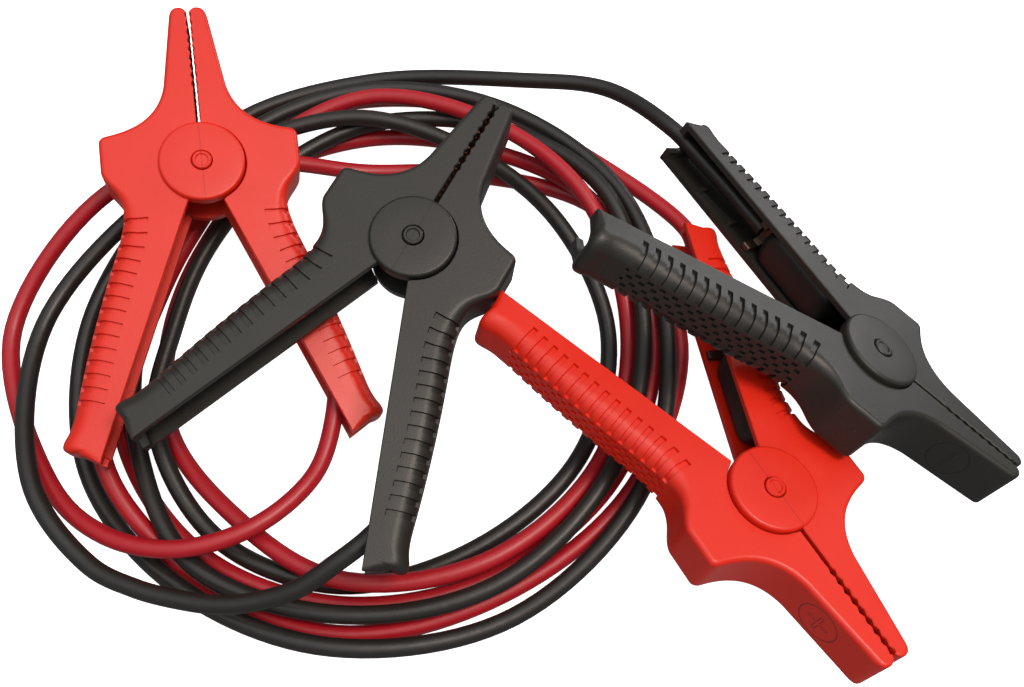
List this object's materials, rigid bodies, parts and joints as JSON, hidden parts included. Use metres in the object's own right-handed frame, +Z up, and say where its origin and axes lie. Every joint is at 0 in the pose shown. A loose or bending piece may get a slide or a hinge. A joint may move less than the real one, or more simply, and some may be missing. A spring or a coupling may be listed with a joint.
{
  "type": "car jumper cable",
  "caption": "Loosely coiled jumper cable set: one red and one black insulated cable, each with a sprung, toothed plastic clamp at both ends.",
  "frame": {"origin": "on the floor, under the middle of the four clamps' own box", "axes": "+Z up; +X to the right and +Y away from the viewer as the set lies in front of them"},
  "size_m": [0.379, 0.2565, 0.0849],
  "materials": {
    "red_shell": "satin moulded plastic, orange-red",
    "black_shell": "satin moulded plastic, charcoal",
    "contact_metal": "copper-plated steel",
    "spring_steel": "plain spring steel",
    "sleeve_rubber": "smooth dark sleeve",
    "red_cable": "satin flexible cable jacket, crimson",
    "black_cable": "satin flexible cable jacket, black"
  },
  "bodies": {
    "set": {"red_clamp_a_cable_half": "red_shell", "red_clamp_a_cable_half_contact": "contact_metal", "red_clamp_a_bracket": "spring_steel", "red_clamp_a_sleeve": "sleeve_rubber", "red_clamp_a_pin": "red_shell", "red_clamp_a_spring": "spring_steel", "black_clamp_a_cable_half": "black_shell", "black_clamp_a_cable_half_contact": "contact_metal", "black_clamp_a_bracket": "spring_steel", "black_clamp_a_sleeve": "sleeve_rubber", "black_clamp_a_pin": "black_shell", "black_clamp_a_spring": "spring_steel", "red_clamp_b_cable_half": "red_shell", "red_clamp_b_cable_half_contact": "contact_metal", "red_clamp_b_bracket": "spring_steel", "red_clamp_b_sleeve": "sleeve_rubber", "red_clamp_b_pin": "red_shell", "red_clamp_b_spring": "spring_steel", "black_clamp_b_cable_half": "black_shell", "black_clamp_b_cable_half_contact": "contact_metal", "black_clamp_b_bracket": "spring_steel", "black_clamp_b_sleeve": "sleeve_rubber", "black_clamp_b_pin": "black_shell", "black_clamp_b_spring": "spring_steel", "red_cable": "red_cable", "black_cable": "black_cable"},
    "red_clamp_a_free": {"red_clamp_a_free_half": "red_shell", "red_clamp_a_free_half_contact": "contact_metal"},
    "black_clamp_a_free": {"black_clamp_a_free_half": "black_shell", "black_clamp_a_free_half_contact": "contact_metal"},
    "red_clamp_b_free": {"red_clamp_b_free_half": "red_shell", "red_clamp_b_free_half_contact": "contact_metal"},
    "black_clamp_b_free": {"black_clamp_b_free_half": "black_shell", "black_clamp_b_free_half_contact": "contact_metal"}
  },
  "joints": [
    {"name": "red_clamp_a_pivot", "type": "hinge", "parent": "set", "child": "red_clamp_a_free", "pos_m": [-0.12821, 0.06002, 0.03999], "axis": [0.2184, -0.1502, 0.9642], "range_deg": [0, 28], "stiffness_Nm_per_rad": 1.5, "springref_deg": -28.65},
    {"name": "black_clamp_a_pivot", "type": "hinge", "parent": "set", "child": "black_clamp_a_free", "pos_m": [-0.04651, 0.02402, 0.04659], "axis": [0.0782, -0.0754, 0.9941], "range_deg": [0, 28], "stiffness_Nm_per_rad": 1.5, "springref_deg": -28.65},
    {"name": "red_clamp_b_pivot", "type": "hinge", "parent": "set", "child": "red_clamp_b_free", "pos_m": [0.07389, -0.06548, 0.03209], "axis": [-0.2083, -0.2021, -0.957], "range_deg": [0, 28], "stiffness_Nm_per_rad": 1.5, "springref_deg": -28.65},
    {"name": "black_clamp_b_pivot", "type": "hinge", "parent": "set", "child": "black_clamp_b_free", "pos_m": [0.11489, -0.01568, 0.03029], "axis": [-0.4431, -0.2888, -0.8487], "range_deg": [0, 28], "stiffness_Nm_per_rad": 1.5, "springref_deg": -28.65}
  ]
}
